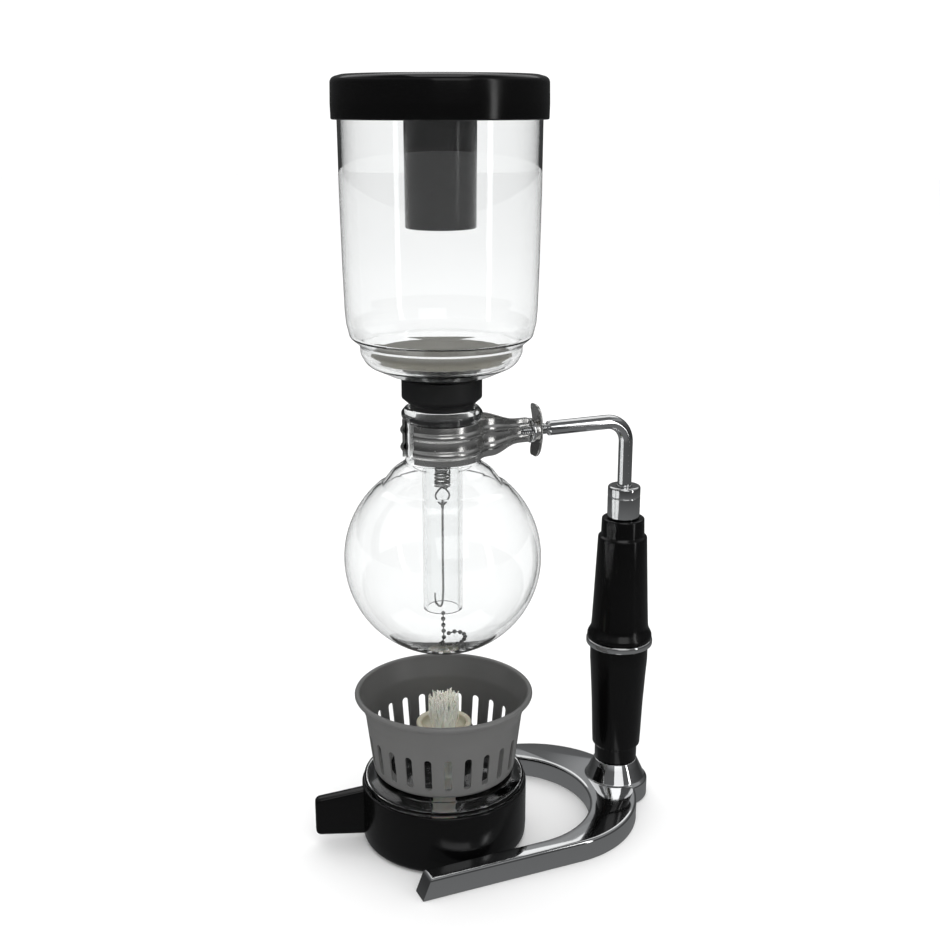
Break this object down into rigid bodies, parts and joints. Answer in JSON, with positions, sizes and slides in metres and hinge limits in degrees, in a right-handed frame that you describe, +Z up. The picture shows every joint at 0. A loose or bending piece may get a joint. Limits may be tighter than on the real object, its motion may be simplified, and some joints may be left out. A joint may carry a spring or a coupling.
{
  "type": "siphon coffee maker",
  "caption": "Vacuum coffee maker: glass upper bowl plugged into a clamped glass globe, on a post with a U base, with a spirit burner.",
  "frame": {"origin": "on the table, on the vertical axis of the two bowls, under the middle of the burner", "axes": "+Z up along the bowls' axis, +X from the bowls to the post"},
  "size_m": [0.1618, 0.096, 0.3319],
  "materials": {
    "chrome": "polished plating",
    "steel": "drawn wire and pressed sheet",
    "black_plastic": "moulded, glossy",
    "clear_glass": "blown borosilicate",
    "rubber": "moulded, matte",
    "filter_cotton": "flannel",
    "cotton_string": "twisted",
    "ceramic": "glazed stoneware",
    "wick_cotton": "braided cotton",
    "grey_metal": "fine matte coating"
  },
  "bodies": {
    "stand": {"base": "chrome", "bent_rod": "chrome", "base_screw": "steel", "tie_rod": "steel", "lower_grip": "black_plastic", "grip_ring": "chrome", "upper_grip": "black_plastic", "ferrule": "chrome", "lower_bowl": "clear_glass"},
    "front_jaw": {"clamp_front_jaw": "chrome"},
    "rear_jaw": {"clamp_rear_jaw": "chrome"},
    "collar": {"thrust_collar": "chrome"},
    "nut": {"thumb_nut": "chrome"},
    "upper": {"upper_bowl": "clear_glass", "gasket": "rubber", "filter_plate": "steel", "filter_cloth": "filter_cotton", "drawstring": "cotton_string", "filter_stud": "steel", "filter_spring": "steel"},
    "hook": {"split_link": "steel", "hook_wire": "steel", "bead_chain": "steel"},
    "lid": {"lid": "black_plastic"},
    "burner": {"lamp_holder": "black_plastic"},
    "font": {"lamp_font": "clear_glass"},
    "shield": {"windshield": "grey_metal"},
    "wick_cap": {"wick_holder": "ceramic"},
    "wick": {"wick": "wick_cotton"}
  },
  "joints": [
    {"name": "upper_bowl_lift", "type": "slide", "parent": "stand", "child": "upper", "axis": [0, 0, 1], "range_m": [0, 0.12]},
    {"name": "lid_lift", "type": "slide", "parent": "upper", "child": "lid", "axis": [0, 0, 1], "range_m": [0, 0.08]},
    {"name": "hook_pull", "type": "slide", "parent": "upper", "child": "hook", "axis": [0, 0, -1], "range_m": [0, 0.006], "stiffness_N_per_m": 150, "springref_m": -0.01, "deforming": ["filter_spring", "bead_chain"]},
    {"name": "thumb_nut_turn", "type": "hinge", "parent": "collar", "child": "nut", "pos_m": [0.044, 0, 0.185], "axis": [1, 0, 0], "range_deg": [0, 720]},
    {"name": "collar_slide", "type": "slide", "parent": "stand", "child": "collar", "axis": [1, 0, 0], "range_m": [0, 0.0021]},
    {"name": "front_jaw_open", "type": "hinge", "parent": "stand", "child": "front_jaw", "pos_m": [0.037, 0, 0.185], "axis": [0, 0, 1], "range_deg": [0, 2.6]},
    {"name": "rear_jaw_open", "type": "hinge", "parent": "stand", "child": "rear_jaw", "pos_m": [0.037, 0, 0.185], "axis": [0, 0, -1], "range_deg": [0, 2.6]},
    {"name": "burner_slide", "type": "slide", "parent": "stand", "child": "burner", "axis": [-1, 0, 0], "range_m": [0, 0.12]},
    {"name": "font_lift", "type": "slide", "parent": "burner", "child": "font", "axis": [0, 0, 1], "range_m": [0, 0.005]},
    {"name": "windshield_lift", "type": "slide", "parent": "font", "child": "shield", "axis": [0, 0, 1], "range_m": [0, 0.012]},
    {"name": "wick_holder_lift", "type": "slide", "parent": "font", "child": "wick_cap", "axis": [0, 0, 1], "range_m": [0, 0.007]},
    {"name": "wick_feed", "type": "slide", "parent": "wick_cap", "child": "wick", "axis": [0, 0, 1], "range_m": [0, 0.005]}
  ],
  "couplings": [
    {"joint": "collar_slide", "follows": "thumb_nut_turn", "m_per_rad": 0.00015915},
    {"joint": "front_jaw_open", "follows": "thumb_nut_turn", "ratio": 0.0034722},
    {"joint": "rear_jaw_open", "follows": "thumb_nut_turn", "ratio": 0.0034722}
  ]
}
